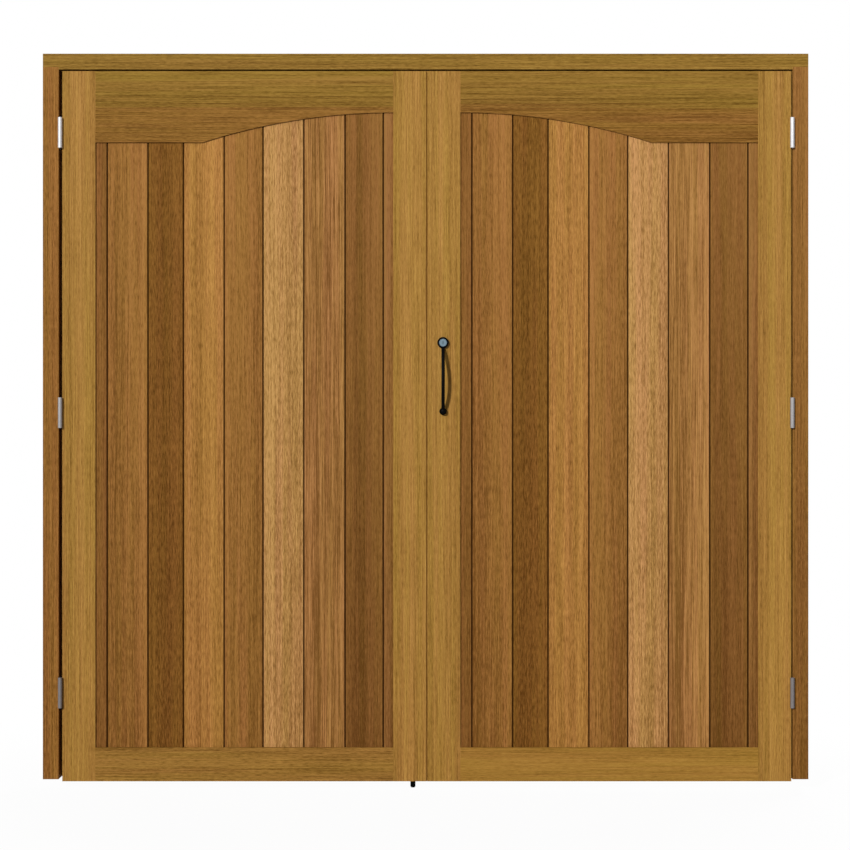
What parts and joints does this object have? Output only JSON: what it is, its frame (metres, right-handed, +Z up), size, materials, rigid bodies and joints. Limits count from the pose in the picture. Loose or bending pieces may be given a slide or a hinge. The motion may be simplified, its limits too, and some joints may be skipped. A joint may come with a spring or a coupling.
{
  "type": "pair of side-hung garage doors",
  "caption": "Pair of timber garage doors with arched top rails and upright matchboards, hung on butt hinges in a rebated frame, with pull handle, lock and bolts.",
  "frame": {"origin": "middle of the wall opening, on the plane of the frame's front face, at the level of the jamb feet", "axes": "+X to the right seen from outside, +Y from the outside into the garage, +Z up"},
  "size_m": [2.243, 0.161, 2.162],
  "materials": {
    "frame_timber": "clear satin oil on brown softwood",
    "leaf_timber": "clear satin oil on golden brown timber",
    "board_timber": "clear satin oil, each board its own tone",
    "hinge_steel": "bright steel",
    "black_iron": "black paint on iron",
    "lock_steel": "satin blue-grey steel",
    "seal_rubber": "matt brown"
  },
  "bodies": {
    "frame": {"head": "frame_timber", "left_jamb": "frame_timber", "right_jamb": "frame_timber", "hinge_pins": "hinge_steel", "left_top_jamb_flap": "hinge_steel", "left_middle_jamb_flap": "hinge_steel", "left_bottom_jamb_flap": "hinge_steel", "right_top_jamb_flap": "hinge_steel", "right_middle_jamb_flap": "hinge_steel", "right_bottom_jamb_flap": "hinge_steel"},
    "left_leaf": {"left_hinge_stile": "leaf_timber", "left_meeting_stile": "leaf_timber", "left_top_rail": "leaf_timber", "left_bottom_rail": "leaf_timber", "left_ledge": "leaf_timber", "left_upper_brace": "leaf_timber", "left_lower_brace": "leaf_timber", "left_board_1": "board_timber", "left_board_2": "board_timber", "left_board_3": "board_timber", "left_board_4": "board_timber", "left_board_5": "board_timber", "left_board_6": "board_timber", "left_board_7": "board_timber", "left_board_8": "board_timber", "left_board_9": "board_timber", "left_top_door_flap": "hinge_steel", "left_middle_door_flap": "hinge_steel", "left_bottom_door_flap": "hinge_steel", "meeting_seal": "seal_rubber", "bottom_bolt_guide": "black_iron", "top_bolt_guide": "black_iron", "latch_keep": "black_iron"},
    "right_leaf": {"right_hinge_stile": "leaf_timber", "right_meeting_stile": "leaf_timber", "right_top_rail": "leaf_timber", "right_bottom_rail": "leaf_timber", "right_ledge": "leaf_timber", "right_upper_brace": "leaf_timber", "right_lower_brace": "leaf_timber", "right_board_1": "board_timber", "right_board_2": "board_timber", "right_board_3": "board_timber", "right_board_4": "board_timber", "right_board_5": "board_timber", "right_board_6": "board_timber", "right_board_7": "board_timber", "right_board_8": "board_timber", "right_board_9": "board_timber", "right_top_door_flap": "hinge_steel", "right_middle_door_flap": "hinge_steel", "right_bottom_door_flap": "hinge_steel", "pull_handle": "black_iron", "lock_cylinder": "lock_steel", "latch_case": "black_iron"},
    "bottom_bolt": {"bottom_bolt": "black_iron"},
    "top_bolt": {"top_bolt": "black_iron"},
    "key_plug": {"key_plug": "lock_steel"},
    "latch": {"latch_bolt": "lock_steel"},
    "latch_knob": {"latch_knob": "lock_steel"}
  },
  "joints": [
    {"name": "left_leaf_swing", "type": "hinge", "parent": "frame", "child": "left_leaf", "pos_m": [-1.07, -0.0066, 1.07], "axis": [0, 0, -1], "range_deg": [0, 105]},
    {"name": "right_leaf_swing", "type": "hinge", "parent": "frame", "child": "right_leaf", "pos_m": [1.0735, -0.0066, 1.07], "axis": [0, 0, 1], "range_deg": [0, 105]},
    {"name": "bottom_bolt_slide", "type": "slide", "parent": "left_leaf", "child": "bottom_bolt", "axis": [0, 0, 1], "range_m": [0, 0.045]},
    {"name": "top_bolt_slide", "type": "slide", "parent": "left_leaf", "child": "top_bolt", "axis": [0, 0, 1], "range_m": [0, 0.028]},
    {"name": "key_turn", "type": "hinge", "parent": "right_leaf", "child": "key_plug", "pos_m": [0.051, 0, 1.279], "axis": [0, 1, 0], "range_deg": [0, 90]},
    {"name": "knob_turn", "type": "hinge", "parent": "right_leaf", "child": "latch_knob", "pos_m": [0.051, 0.06, 1.279], "axis": [0, -1, 0], "range_deg": [0, 90]},
    {"name": "latch_slide", "type": "slide", "parent": "right_leaf", "child": "latch", "axis": [-1, 0, 0], "range_m": [0, 0.0198]}
  ],
  "couplings": [
    {"joint": "latch_slide", "follows": "knob_turn", "m_per_rad": 0.012603}
  ]
}
